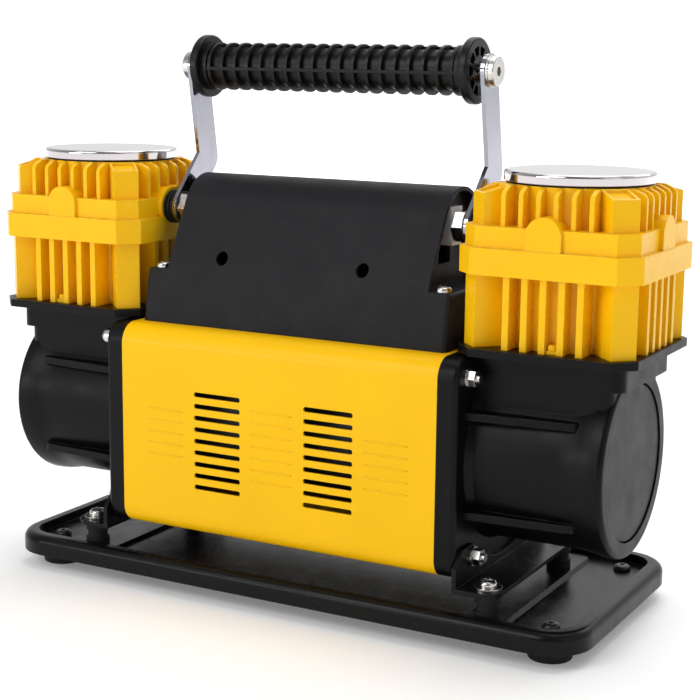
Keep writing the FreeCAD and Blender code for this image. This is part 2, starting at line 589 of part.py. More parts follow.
def crankcase():
    """Cast crankcase: a drum along the shaft, a stepped neck and the cylinder flange."""
    ribs = [drum_rib(side_y, z) for side_y in (-1, 1) for z in RIB_Z]
    body = fuse(crankcase_flange(), drum(), *(neck() + ribs))
    chamber_x = (FRAME_X + CHAMBER_WALL, DRUM_END_X - END_COVER_T - 0.8)
    chamber = rod_x(CHAMBER_R, chamber_x, CRANK_Y, CRANK_Z)
    throat_y = (CRANK_Y - THROAT_HALF_Y, CRANK_Y + THROAT_HALF_Y)
    throat = box(THROAT_X, throat_y, (CRANK_Z, THROAT_TOP_Z))
    spigot = rod_z(LINER_R, CYL_X, CRANK_Y, (THROAT_TOP_Z - 8, FLANGE_Z[1] + 4))
    door = rod_x(END_COVER_R, (DRUM_END_X - 5, DRUM_END_X + 1), CRANK_Y, CRANK_Z)
    shaft_hole = rod_x(SHAFT_R + 5, (FRAME_X - 1, FRAME_X + CHAMBER_WALL + 1), CRANK_Y, CRANK_Z)
    hole_z = (FLANGE_Z[0] + BOLT_HOLE_FLOOR, FLANGE_Z[1] + 1)
    bolts = [rod_z(CYL_BOLT_R, x, y, hole_z) for x, y in cylinder_bolt_places()]
    return body.cut([chamber, throat, spigot, door, shaft_hole] + bolts)


def end_cover():
    """Round cover, with a bevelled rim, in the open end of a crankcase drum."""
    x = (DRUM_END_X - END_COVER_T - 0.8, DRUM_END_X - 0.8)
    plate = rod_x(END_COVER_R, x, CRANK_Y, CRANK_Z)
    return plate.makeChamfer(1.0, edges_at_x(plate, x[1]))


def piston(offset):
    """Rocking piston: crown and connecting rod in one piece, with a big-end eye."""
    eye_z = CRANK_Z + offset
    crown_z = (eye_z + ROD_LENGTH, eye_z + ROD_LENGTH + CROWN_H)
    eye = rod_x(BIG_END_R, BIG_END_X, CRANK_Y, eye_z)
    stem = box((CYL_X - 5, CYL_X + 5), (CRANK_Y - 8, CRANK_Y + 8), (eye_z, crown_z[0] + 1))
    crown = rod_z(BORE_R - 1, CYL_X, CRANK_Y, crown_z)
    groove_z = (crown_z[0] + SEAL_LOW, crown_z[0] + SEAL_LOW + SEAL_T)
    groove = rod_z(BORE_R + 1, CYL_X, CRANK_Y, groove_z)
    groove = groove.cut(rod_z(SEAL_INNER_R, CYL_X, CRANK_Y, crown_z))
    body = fuse(eye, stem, crown)
    return body.cut([rod_x(CRANK_PIN_R + FIT, BIG_END_X, CRANK_Y, eye_z), groove])


def cup_seal(offset):
    """Seal ring in the piston's groove, a running fit in the liner."""
    low = CRANK_Z + offset + ROD_LENGTH + SEAL_LOW
    ring = rod_z(BORE_R - FIT, CYL_X, CRANK_Y, (low, low + SEAL_T))
    return ring.cut(rod_z(SEAL_INNER_R, CYL_X, CRANK_Y, (low, low + SEAL_T)))


# ---- cylinder ----
def corner_posts(half, cut, z):
    """Four diagonal posts whose outer faces are the cut corners of a square."""
    reach = (2 * half - cut) / math.sqrt(2)
    half_w = cut / math.sqrt(2)
    posts = []
    for turn in (45, 135, 225, 315):
        post = box((20, reach), (-half_w, half_w), z)
        post.rotate(vec(0, 0, 0), vec(0, 0, 1), turn)
        posts.append(post)
    return posts


def on_four_sides(shapes):
    """Copies of shapes on all four sides of an upright axis at the origin."""
    copies = []
    for turn in (0, 90, 180, 270):
        for shape in shapes:
            copy = shape.copy()
            copy.rotate(vec(0, 0, 0), vec(0, 0, 1), turn)
            copies.append(copy)
    return copies


def cylinder_bolt_places():
    """(x, y) of the four bolts that hold a cylinder down, between its middle fins."""
    near, far = FIN_PITCH / 2, CYL_BOLT_REACH
    return [(CYL_X + near, CRANK_Y - far), (CYL_X + far, CRANK_Y + near),
            (CYL_X - near, CRANK_Y + far), (CYL_X - far, CRANK_Y - near)]


def cylinder():
    """Finned cylinder block: a round barrel with corner posts, upright fins and bolt lugs."""
    middle = (FIN_COUNT - 1) / 2
    root_y = -BARREL_R + 10
    fins = []
    for index in range(FIN_COUNT):
        x = (index - middle) * FIN_PITCH
        fins.append(box((x - FIN_T / 2, x + FIN_T / 2), (-CYL_HALF, root_y), CYL_Z))
    lug_z = (CYL_Z[0], CYL_Z[0] + LUG_T)
    lug = box((0, FIN_PITCH), (-CYL_HALF + LUG_INSET, root_y), lug_z)
    around = on_four_sides(fins + [lug]) + corner_posts(CYL_HALF, CYL_CUT, CYL_Z)
    body = fuse(rod_z(BARREL_R, 0, 0, CYL_Z), *around)
    body.translate(vec(CYL_X, CRANK_Y, 0))
    bolts = [rod_z(CYL_BOLT_R + HOLE_GAP, x, y, (lug_z[0] - 1, lug_z[1] + 1))
             for x, y in cylinder_bolt_places()]
    bore_z = (CYL_Z[0] - 1, CYL_Z[1] + 1)
    return body.cut([rod_z(LINER_R, CYL_X, CRANK_Y, bore_z)] + bolts)


def cylinder_bolt(x, y):
    """Small cap-head bolt through a lug into the crankcase flange."""
    head_r, head_h = CYL_BOLT_HEAD
    seat_z = CYL_Z[0] + LUG_T
    head = rod_z(head_r, x, y, (seat_z, seat_z + head_h))
    head = head.makeFillet(1.0, edges_at_z(head, seat_z + head_h))
    return fuse(head, rod_z(CYL_BOLT_R, x, y, (FLANGE_Z[0] + BOLT_HOLE_FLOOR, seat_z)))


def cylinder_liner():
    z = (160.0, CYL_Z[1])
    return rod_z(LINER_R, CYL_X, CRANK_Y, z).cut(rod_z(BORE_R, CYL_X, CRANK_Y, z))


def valve_plate():
    """Round plate between cylinder and head, with an inlet and a delivery port."""
    z = (CYL_Z[1], PLATE_TOP_Z)
    plate = rod_z(PLATE_R, CYL_X, CRANK_Y, z)
    return plate.cut([rod_z(4, CYL_X - 10, CRANK_Y, z), rod_z(4, CYL_X + 10, CRANK_Y, z)])


# ---- cylinder head ----
def tier_fin(x):
    """One upright fin on the front side of the tier, its rounded shoulder rising to the cup."""
    outline = [(-CUP_R + 10, BAND_TOP_Z), (-TIER_HALF, BAND_TOP_Z), (-TIER_HALF, TIER_FIN_TOP_Z),
               (-CUP_R, HEAD_TOP_Z - 0.2), (-CUP_R + 10, HEAD_TOP_Z - 0.2)]
    fin = upright_plate(outline, TIER_FIN_T / 2)
    shoulder = [e for e in edges_along(fin, vec(0, 1, 0))
                if e.BoundBox.XMax < 1 - TIER_HALF and e.BoundBox.ZMin > BAND_TOP_Z + 1]
    fin = fin.makeFillet(TIER_FIN_SHOULDER_R, shoulder)
    fin.rotate(vec(0, 0, 0), vec(0, 0, 1), 90)
    fin.translate(vec(x, 0, 0))
    return fin


def post_top_z(reach):
    """Height of a post's sloping top at a distance from the cylinder's axis."""
    return HEAD_TOP_Z - POST_SLOPE * (reach - POST_SLOPE_START)


def tier_post():
    """One corner post of the tier, with a shallow pocket in its sloping top."""
    end = (2 * TIER_HALF - TIER_CUT) / math.sqrt(2)
    half_w = TIER_CUT / math.sqrt(2)
    root = CUP_R - 2
    post = upright_plate([(root, BAND_TOP_Z), (end, BAND_TOP_Z), (end, post_top_z(end)),
                          (POST_SLOPE_START, HEAD_TOP_Z), (root, HEAD_TOP_Z)], half_w)
    low, high = POST_SLOPE_START + POST_POCKET, end - POST_POCKET
    pocket = upright_plate([(low, post_top_z(low) - POST_POCKET), (high, post_top_z(high) - POST_POCKET),
                            (high, HEAD_TOP_Z + 1), (low, HEAD_TOP_Z + 1)], half_w - POST_POCKET)
    post = post.cut(pocket)
    post.rotate(vec(0, 0, 0), vec(0, 0, 1), 45)
    return post


def head_tier():
    """Upper tier of the head: the filter room's round wall with fins and posts around it."""
    cup = rod_z(CUP_R, 0, 0, (BAND_TOP_Z - 1, HEAD_TOP_Z))
    middle = (TIER_FIN_COUNT - 1) / 2
    fins = [tier_fin((index - middle) * TIER_FIN_PITCH) for index in range(TIER_FIN_COUNT)]
    return fuse(cup, *on_four_sides(fins + [tier_post()]))


def arch_boss(radius, centre_z, y):
    """Arched boss on the front side, between two Y values."""
    block = box((-radius, radius), y, (SKIRT_TOP_Z - 3, centre_z))
    return fuse(block, rod_y(radius, 0, y, centre_z))


def cylinder_head():
    """Cylinder head: skirt, middle band and slotted tier, with the filter room on top."""
    skirt = prism_z(octagon_points(SKIRT_HALF, SKIRT_CUT), (CYL_Z[1], SKIRT_TOP_Z))
    band = prism_z(octagon_points(BAND_HALF, BAND_CUT), (SKIRT_TOP_Z, BAND_TOP_Z))
    arches = on_four_sides([arch_boss(10.0, 228.6, (-SKIRT_HALF + 0.4, -30))])
    outlet = rod_x(12.0, (-SKIRT_HALF, -30), OUTLET_Y, PIVOT_Z)
    body = fuse(skirt, band, head_tier(), outlet, *arches)
    rooms = [rod_z(FILTER_ROOM_R, 0, 0, (FILTER_ROOM_Z, HEAD_TOP_Z + 1)),
             rod_z(PLATE_R, 0, 0, (CYL_Z[1] - 1, PLATE_TOP_Z)),
             rod_z(30.0, 0, 0, (PLATE_TOP_Z - 1, 231.0)),
             rod_z(5.0, 12, 12, (230.0, FILTER_ROOM_Z + 1)),
             rod_x(5.0, (-SKIRT_HALF - 1, -15), OUTLET_Y, PIVOT_Z)]
    body = body.cut(rooms)
    body.translate(vec(CYL_X, CRANK_Y, 0))
    return body


def filter_element():
    z = (FILTER_ROOM_Z, HEAD_TOP_Z - 4)
    return rod_z(FILTER_ROOM_R - 0.5, CYL_X, CRANK_Y, z).cut(rod_z(20.0, CYL_X, CRANK_Y, z))


def cap_seal():
    z = (HEAD_TOP_Z, CAP_Z[0])
    return rod_z(CAP_R - 1.6, CYL_X, CRANK_Y, z).cut(rod_z(FILTER_ROOM_R - 0.4, CYL_X, CRANK_Y, z))


def filter_cap():
    """Round polished cap with a spigot that plugs the filter room."""
    cap = rod_z(CAP_R, CYL_X, CRANK_Y, CAP_Z)
    cap = cap.makeFillet(1.6, edges_at_z(cap, CAP_Z[1]))
    spigot_z = (HEAD_TOP_Z - 3.5, CAP_Z[0] + 1)
    spigot = rod_z(FILTER_ROOM_R - 0.6, CYL_X, CRANK_Y, spigot_z)
    spigot = spigot.cut(rod_z(FILTER_ROOM_R - 3, CYL_X, CRANK_Y, (spigot_z[0], CAP_Z[0])))
    return fuse(cap, spigot)


# ---- air manifold, outlet and pivots ----
def manifold_block():
    """Aluminium block that joins both cylinders' air and carries the handle pivots."""
    y = (PIVOT_Y - BLOCK_HALF_Y, PIVOT_Y + BLOCK_HALF_Y)
    z = (PIVOT_Z - BLOCK_HALF_Z, PIVOT_Z + BLOCK_HALF_Z)
    block = box((-BLOCK_HALF_X, BLOCK_HALF_X), y, z)
    gallery = rod_x(3.0, (-BLOCK_HALF_X - 1, BLOCK_HALF_X + 1), PIVOT_Y, PIVOT_Z)
    sockets = both_sides(rod_x(PORT_R, (BLOCK_HALF_X - 12, BLOCK_HALF_X + 1), PIVOT_Y, PIVOT_Z))
    outlet = rod_y(PORT_R, 0, (PIVOT_Y, PIVOT_Y + BLOCK_HALF_Y + 1), PIVOT_Z)
    return block.cut(sockets + [gallery, outlet])


def pivot_fitting():
    """Hollow shouldered fitting: screwed into the block, it is the handle's pivot pin."""
    hexagon = hexagon_x(9.6, (BLOCK_HALF_X, PIVOT_WASHER_X), PIVOT_Y, PIVOT_Z)
    stages = ((PORT_R, BLOCK_HALF_X - 11, BLOCK_HALF_X), (PIVOT_R, PIVOT_WASHER_X, ARM_X[1] + 0.2),
              (5.5, ARM_X[1] + 0.2, CYL_X - SKIRT_HALF), (5.0, CYL_X - SKIRT_HALF, 112.0))
    body = fuse(hexagon, *[rod_x(r, (x0, x1), PIVOT_Y, PIVOT_Z) for r, x0, x1 in stages])
    return body.cut(rod_x(2.4, (BLOCK_HALF_X - 12, 113.0), PIVOT_Y, PIVOT_Z))


def air_coupling():
    """Ribbed rubber collar between the handle arm and the cylinder head."""
    x = (ARM_X[1] + 0.2, CYL_X - SKIRT_HALF)
    collar = rod_x(8.6, x, PIVOT_Y, PIVOT_Z)
    rings = []
    ring_count, ring_w = 3, 1.3
    pitch = (x[1] - x[0] - ring_w) / (ring_count - 1)
    for index in range(ring_count):
        low = x[0] + index * pitch
        rings.append(rod_x(10.0, (low, low + ring_w), PIVOT_Y, PIVOT_Z))
    return fuse(collar, *rings).cut(rod_x(5.5, x, PIVOT_Y, PIVOT_Z))


def pivot_washer():
    x = (PIVOT_WASHER_X, ARM_X[0] - FIT)
    return rod_x(9.5, x, PIVOT_Y, PIVOT_Z).cut(rod_x(PIVOT_R, x, PIVOT_Y, PIVOT_Z))


def air_outlet():
    """Brass hose plug screwed into the back of the manifold block."""
    back = PIVOT_Y + BLOCK_HALF_Y
    thread = rod_y(PORT_R, 0, (back - 5, OUTLET_STAGES[0][1]), PIVOT_Z)
    body = fuse(thread, *[rod_y(r, 0, (y0, y1), PIVOT_Z) for r, y0, y1 in OUTLET_STAGES])
    collar_y = OUTLET_STAGES[1][1:]
    flats = [box((-12, 12), collar_y, (PIVOT_Z + side * 11 - 3, PIVOT_Z + side * 11 + 3))
             for side in (-1, 1)]
    bore = rod_y(2.6, 0, (back - 6, OUTLET_STAGES[-1][2] + 1), PIVOT_Z)
    return body.cut(flats + [bore])


# ---- handle ----
def bar_between(start, end, half_w):
    """Flat bar with parallel sides between two (y, z) points, without rounded ends."""
    run = math.hypot(end[0] - start[0], end[1] - start[1])
    ny = -(end[1] - start[1]) / run * half_w
    nz = (end[0] - start[0]) / run * half_w
    corners = [vec(ARM_X[0], p[0] + s * ny, p[1] + s * nz)
               for p, s in ((start, 1), (end, 1), (end, -1), (start, -1))]
    outline = Part.makePolygon(corners + corners[:1])
    return Part.Face(outline).extrude(vec(ARM_X[1] - ARM_X[0], 0, 0))


def handle_arm():
    """Cranked flat bar from the pivot to the grip, with round ends."""
    pivot = (PIVOT_Y, PIVOT_Z)
    bend = (CRANK_Y + ARM_BEND[0], ARM_BEND[1])
    half_w = ARM_W / 2
    pieces = [bar_between(pivot, bend, half_w), bar_between(bend, GRIP_AT, half_w)]
    for y, z in (pivot, bend, GRIP_AT):
        pieces.append(rod_x(half_w, ARM_X, y, z))
    arm = fuse(*pieces)
    return arm.cut([rod_x(PIVOT_R + FIT, (90, 105), *pivot), rod_x(3.2, (90, 105), *GRIP_AT)])


def grip_end_pockets():
    """Tool for the pockets between the spokes of a grip end."""
    x = (GRIP_END_X - POCKET_DEPTH, GRIP_END_X + 1)
    ring = rod_x(POCKET_R[1], x, *GRIP_AT).cut(rod_x(POCKET_R[0], x, *GRIP_AT))
    spokes = []
    for index in range(SPOKE_COUNT):
        spoke = box((x[0] - 1, x[1] + 1), (-SPOKE_W / 2, SPOKE_W / 2), (GRIP_ROD_R, POCKET_R[1] + 2))
        spoke.rotate(vec(0, 0, 0), vec(1, 0, 0), 360.0 / SPOKE_COUNT * index)
        spoke.translate(vec(0, *GRIP_AT))
        spokes.append(spoke)
    return ring.cut(spokes)


def grip_rib(turn):
    """One long rib of the grip, turned about its axis."""
    end_x = GRIP_END_X - 3
    rib = box((-end_x, end_x), (-GRIP_RIB_W / 2, GRIP_RIB_W / 2), (GRIP_ROD_R, GRIP_R - 0.1))
    rib.rotate(vec(0, 0, 0), vec(1, 0, 0), turn)
    rib.translate(vec(0, *GRIP_AT))
    return rib


def grip_flange():
    """Rounded flange and short neck at the right end of the grip."""
    low = GRIP_END_X - GRIP_FLANGE_T
    flange = rod_x(GRIP_FLANGE_R, (low, GRIP_END_X), *GRIP_AT)
    flange = flange.makeFillet(1.2, edges_at_x(flange, low) + edges_at_x(flange, GRIP_END_X))
    return fuse(flange, rod_x(GRIP_NECK_R, (low - GRIP_NECK_W, low + 1), *GRIP_AT))


def handle_grip():
    """Moulded grip: a core with rings and three long ribs, and a flange at each end."""
    core = rod_x(GRIP_CORE_R, (-GRIP_END_X, GRIP_END_X), *GRIP_AT)
    middle = (GRIP_RING_COUNT - 1) / 2
    rings = []
    for index in range(GRIP_RING_COUNT):
        x = (index - middle) * GRIP_RING_PITCH
        rings.append(rod_x(GRIP_R, (x - GRIP_RING_W / 2, x + GRIP_RING_W / 2), *GRIP_AT))
    ribs = [grip_rib(turn) for turn in GRIP_RIB_TURNS]
    body = fuse(core, *(rings + ribs + both_sides(grip_flange())))
    bore = rod_x(GRIP_ROD_R, (-GRIP_END_X - 1, GRIP_END_X + 1), *GRIP_AT)
    return body.cut(both_sides(grip_end_pockets()) + [bore])


def grip_rod():
    """Steel rod through the grip, tapped at both ends for the handle bolts."""
    rod = rod_x(GRIP_ROD_R, (-GRIP_END_X, GRIP_END_X), *GRIP_AT)
    return rod.cut(both_sides(rod_x(3.0, (GRIP_END_X - 16, GRIP_END_X + 1), *GRIP_AT)))


def grip_spacer():
    x = (GRIP_END_X, ARM_X[0])
    return rod_x(6.5, x, *GRIP_AT).cut(rod_x(3.2, x, *GRIP_AT))


def handle_washer():
    x = (ARM_X[1], ARM_X[1] + WASHER_T)
    return rod_x(9.0, x, *GRIP_AT).cut(rod_x(3.2, x, *GRIP_AT))


def handle_bolt():
    """Low-head socket bolt that holds an arm to the grip."""
    seat = ARM_X[1] + WASHER_T
    head = rod_x(8.4, (seat, seat + 3.5), *GRIP_AT)
    head = head.makeFillet(0.8, edges_at_x(head, seat + 3.5))
    socket = hexagon_x(2.9, (seat + 1.2, seat + 5), *GRIP_AT)
    return fuse(head.cut(socket), rod_x(3.0, (GRIP_END_X - 15, seat), *GRIP_AT))


# ---- shroud, switch and cable gland ----
def shroud_screw_places():
    x, front, back = SHROUD_SCREW
    return [(side * x, CRANK_Y + y) for side in (-1, 1) for y in (front, back)]


def hood_section(inset, x, low_z, high_z=HOOD_ARC[1] + HOOD_ARC[2]):
    """The hood's side profile drawn in by an inset: soft knee, leaning front and round top."""
    centre_y, centre_z, radius = HOOD_ARC[0] + CRANK_Y, HOOD_ARC[1], HOOD_ARC[2] - inset
    foot, knee = [(CRANK_Y + y + inset, z) for y, z in HOOD_FRONT]
    lean_start = (centre_y - radius * math.cos(HOOD_LEAN), centre_z + radius * math.sin(HOOD_LEAN))
    points = [vec(x[0], *p) for p in (lean_start, knee, foot, (centre_y + radius, COVER_Z[1]),
                                      (centre_y + radius, centre_z))]
    top = vec(x[0], centre_y, centre_z + radius)
    crown = Part.Arc(points[-1], top, points[0]).toShape()
    outline = Part.Wire(Part.makePolygon(points).Edges + [crown])
    solid = Part.Face(outline).extrude(vec(x[1] - x[0], 0, 0))
    bend = [e for e in edges_along(solid, vec(1, 0, 0)) if abs(e.BoundBox.ZMin - knee[1]) < 0.1]
    solid = solid.makeFillet(KNEE_R - inset, bend)
    return solid.common(box((x[0] - 1, x[1] + 1), (-100, 100), (low_z, high_z)))


def shroud():
    """Moulded hood over the manifold, with a broad foot that is screwed to the cover."""
    base_z = COVER_Z[1]
    hood = hood_section(0, (-HOOD_HALF_X, HOOD_HALF_X), base_z)
    ears = hood_section(0, (-EAR_HALF_X, EAR_HALF_X), base_z, EAR_TOP_Z)
    ears = ears.makeFillet(EAR_CORNER_R, [e for x in (-EAR_HALF_X, EAR_HALF_X)
                                 for e in edges_at_x(ears, x) if e.BoundBox.ZMax > base_z + 1])
    wall_x = HOOD_HALF_X - HOOD_END_DEPTH
    inside = hood_section(HOOD_T, (-wall_x + HOOD_T, wall_x - HOOD_T), base_z)
    room_x = EAR_HALF_X - HOOD_T
    ear_room = hood_section(HOOD_T, (-room_x, room_x), base_z, EAR_TOP_Z - HOOD_T)
    end_recess = hood_section(HOOD_T, (wall_x, HOOD_HALF_X + 1), EAR_TOP_Z)
    pillars = []
    holes = []
    for x, y in shroud_screw_places():
        pillars.append(rod_z(4.6, x, y, (base_z, EAR_TOP_Z - 1)))
        holes.append(rod_z(2 + HOLE_GAP, x, y, (base_z - 1, EAR_TOP_Z + 1)))
    body = fuse(hood, ears).cut([inside, ear_room] + both_sides(end_recess))
    body = fuse(body, *pillars)
    gap = 1.5
    window = box((60, HOOD_HALF_X + 1),
                 (PIVOT_Y - BLOCK_HALF_Y - gap, PIVOT_Y + BLOCK_HALF_Y + gap), WINDOW_Z)
    window = window.common(hood_section(HOOD_T + 0.5, (60, HOOD_HALF_X + 1), EAR_TOP_Z))
    holes += both_sides(window)
    holes += [rod_y(4.0, x, (-60, -25), z) for x, z in HOOD_HOLES]
    back_y = (5, 25)
    holes.append(rod_y(11.0, 0, back_y, PIVOT_Z))
    holes.append(box(switch_span(0)[0], back_y, switch_span(0)[1]))
    holes.append(rod_y(8.0, GLAND_X, back_y, GLAND_Z))
    return body.cut(holes)


def switch_span(inset):
    """X and Z limits of the switch body, drawn in by an inset."""
    half_x, half_z = SWITCH_HALF_X - inset, SWITCH_HALF_Z - inset
    return ((SWITCH_X - half_x, SWITCH_X + half_x), (SWITCH_Z - half_z, SWITCH_Z + half_z))


def switch_housing():
    """Snap-in switch body with a bezel on the back wall of the shroud."""
    x, z = switch_span(0)
    body = box(x, (BACK_Y - 22, BACK_Y), z)
    rim_x, rim_z = switch_span(-2)
    bezel = box(rim_x, (BACK_Y, BACK_Y + 2), rim_z)
    bezel = bezel.makeFillet(2.0, edges_along(bezel, vec(0, 1, 0)))
    well_x, well_z = switch_span(1.6)
    well = box(well_x, (BACK_Y - 9, BACK_Y + 3), well_z)
    pin_x = (well_x[0] - 0.9, well_x[1] + 0.9)
    pin_holes = rod_x(ROCKER_PIN_R + FIT, pin_x, BACK_Y - ROCKER_AXIS_DEPTH, SWITCH_Z)
    return fuse(body, bezel).cut([well, pin_holes])


def rocker_switch():
    """Rocker button on two short pins, resting tilted to the off side."""
    x, z = switch_span(2.1)
    half_z = (z[1] - z[0]) / 2
    y_face, y_pivot = 3.0, -ROCKER_AXIS_DEPTH
    points = [(y_pivot, -3.5), (y_face - 1.5, -half_z + 1), (y_face, -half_z + 1), (y_face - 1.2, 0),
              (y_face, half_z - 1), (y_face - 1.5, half_z - 1), (y_pivot, 3.5)]
    corners = [vec(x[0], BACK_Y + p[0], SWITCH_Z + p[1]) for p in points]
    outline = Part.makePolygon(corners + corners[:1])
    button = Part.Face(outline).extrude(vec(x[1] - x[0], 0, 0))
    button.rotate(vec(0, BACK_Y + y_pivot, SWITCH_Z), vec(1, 0, 0), -ROCKER_TILT)
    hub = rod_x(ROCKER_HUB_R, x, BACK_Y + y_pivot, SWITCH_Z)
    pins = rod_x(ROCKER_PIN_R, (x[0] - 1.3, x[1] + 1.3), BACK_Y + y_pivot, SWITCH_Z)
    return fuse(button, hub, pins)


def cable_gland():
    """Threaded inlet gland for the supply lead, with a hexagonal body and a dome nut."""
    thread = rod_y(7.8, GLAND_X, (BACK_Y - 10, BACK_Y), GLAND_Z)
    flange = rod_y(11.0, GLAND_X, (BACK_Y, BACK_Y + 5), GLAND_Z)
    dome = Part.makeCone(9.6, 6.5, 10, vec(GLAND_X, BACK_Y + 5, GLAND_Z), vec(0, 1, 0))
    nut = rod_y(10.5, GLAND_X, (BACK_Y - 8, BACK_Y - HOOD_T), GLAND_Z)
    bore = rod_y(4.2, GLAND_X, (BACK_Y - 11, BACK_Y + 16), GLAND_Z)
    return fuse(thread, flange, dome, nut).cut(bore)


def shroud_screw(x, y):
    head = rod_z(4.5, x, y, (EAR_TOP_Z, EAR_TOP_Z + 3))
    head = head.makeFillet(1.9, edges_at_z(head, EAR_TOP_Z + 3))
    cross = box((x - 2.2, x + 2.2), (y - 0.45, y + 0.45), (EAR_TOP_Z + 1.8, EAR_TOP_Z + 4))
    return fuse(head.cut(cross), rod_z(2, x, y, (154, EAR_TOP_Z)))


# ---- all nodes ----
def fastener_nodes():
    ties = tie_places()
    screws = [(side * ISOLATOR_X, CRANK_Y + y) for side in (-1, 1) for y in (-ISOLATOR_Y, ISOLATOR_Y)]
    bolts = []
    for x, y in cylinder_bolt_places():
        bolts += both_sides(cylinder_bolt(x, y))
    return {
        "foot_screws": group(*four_ways(FOOT_X, (-FOOT_Y, FOOT_Y), foot_screw)),
        "vibration_isolators": group(*[isolator(*place) for place in screws]),
        "bracket_screws": group(*[bracket_screw(*place) for place in screws]),
        "bracket_washers": group(*[bracket_washer(*place) for place in screws]),
        "tie_bolts": group(*[tie_bolt(*place) for place in ties]),
        "tie_nuts": group(*[tie_nut(*place) for place in ties]),
        "tie_washers": group(*[w for place in ties for w in both_sides(tie_washer(*place))]),
        "cylinder_bolts": group(*bolts),
        "shroud_screws": group(*[shroud_screw(*place) for place in shroud_screw_places()]),
        "handle_bolts": group(*both_sides(handle_bolt())),
        "handle_washers": group(*both_sides(handle_washer())),
        "grip_spacers": group(*both_sides(grip_spacer())),
    }


def single_nodes():
    return {
        "base_tray": base_tray(),
        "rubber_feet": group(*four_ways(FOOT_X, (-FOOT_Y, FOOT_Y), rubber_foot)),
        "motor_cover": motor_cover(),
        "motor_can": motor_can(),
        "stator_magnets": stator_magnets(),
        "shaft_bearings": group(*both_sides(shaft_bearing())),
        "brush_holder": brush_holder(),
        "carbon_brushes": carbon_brushes(),
        "motor_shaft": motor_shaft(),
        "armature_core": armature_core(),
        "armature_windings": armature_windings(),
        "commutator": commutator(),
        "manifold_block": manifold_block(),
        "pivot_fittings": group(*both_sides(pivot_fitting())),
        "pivot_washers": group(*both_sides(pivot_washer())),
        "air_couplings": group(*both_sides(air_coupling())),
        "air_outlet": air_outlet(),
        "handle_grip": handle_grip(),
        "grip_rod": grip_rod(),
        "shroud": shroud(),
        "switch_housing": switch_housing(),
        "rocker_switch": rocker_switch(),
        "cable_gland": cable_gland(),
        "crankcase_covers": group(*both_sides(end_cover())),
        "cylinder_liners": group(*both_sides(cylinder_liner())),
        "valve_plates": group(*both_sides(valve_plate())),
        "filter_elements": group(*both_sides(filter_element())),
        "cap_seals": group(*both_sides(cap_seal())),
    }


def sided_nodes(side):
    """Nodes made once for each side; the left crank pin is up and the right one down."""
    pin_side = 1 if side == "left" else -1
    shapes = {
        "bracket": bracket(),
        "end_frame": end_frame(),
        "crankcase": crankcase(),
        "crank_disc": crank_disc(pin_side),
        "piston": piston(pin_side * THROW),
        "cup_seal": cup_seal(pin_side * THROW),
        "cylinder": cylinder(),
        "cylinder_head": cylinder_head(),
        "filter_cap": filter_cap(),
        "handle_arm": handle_arm(),
    }
    place = mirror_x if side == "left" else (lambda shape: shape)
    return {name + "_" + side: place(shape) for name, shape in shapes.items()}


def main():
    os.makedirs("parts", exist_ok=True)
    nodes = {**fastener_nodes(), **single_nodes()}
    for side in SIDES:
        nodes.update(sided_nodes(side))
    for name, shape in sorted(nodes.items()):
        shape.exportStep("parts/" + name + ".step")
    print(len(nodes), "nodes written")


main()
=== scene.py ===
import json
import math
import bmesh
import bpy
from mathutils import Matrix, Vector


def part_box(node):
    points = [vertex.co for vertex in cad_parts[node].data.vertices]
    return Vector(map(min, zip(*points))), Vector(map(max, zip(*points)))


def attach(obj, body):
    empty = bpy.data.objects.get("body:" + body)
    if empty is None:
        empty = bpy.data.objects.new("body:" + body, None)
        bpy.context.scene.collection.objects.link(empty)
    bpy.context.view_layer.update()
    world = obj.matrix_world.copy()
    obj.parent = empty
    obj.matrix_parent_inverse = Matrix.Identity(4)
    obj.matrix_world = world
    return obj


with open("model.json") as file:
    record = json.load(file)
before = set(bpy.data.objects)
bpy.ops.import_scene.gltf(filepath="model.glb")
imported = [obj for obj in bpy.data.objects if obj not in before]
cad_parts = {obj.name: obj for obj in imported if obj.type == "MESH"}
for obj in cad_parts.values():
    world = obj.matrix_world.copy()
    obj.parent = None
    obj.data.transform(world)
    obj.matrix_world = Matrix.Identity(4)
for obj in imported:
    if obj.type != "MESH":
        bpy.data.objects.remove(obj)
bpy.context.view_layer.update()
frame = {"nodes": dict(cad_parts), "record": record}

# Twin stack compressor: finishes, small formed details, studio and camera, around the packed
# model. Metres; +X right, -Y front, +Z up, the origin on the ground under the tray's middle.

MM = 0.001
SCENE = bpy.context.scene
WHITE = (1.0, 1.0, 1.0)


# ---- node graphs ----
# A Mix node's sockets share their names between data types, so they are picked by index:
# the factor, the two inputs and the output.
MIX_SOCKETS = {"FLOAT": (0, 2, 3, 0), "RGBA": (0, 6, 7, 2)}
# Nearly all of a noise texture's values lie between these two.
NOISE_RANGE = (0.3, 0.7)


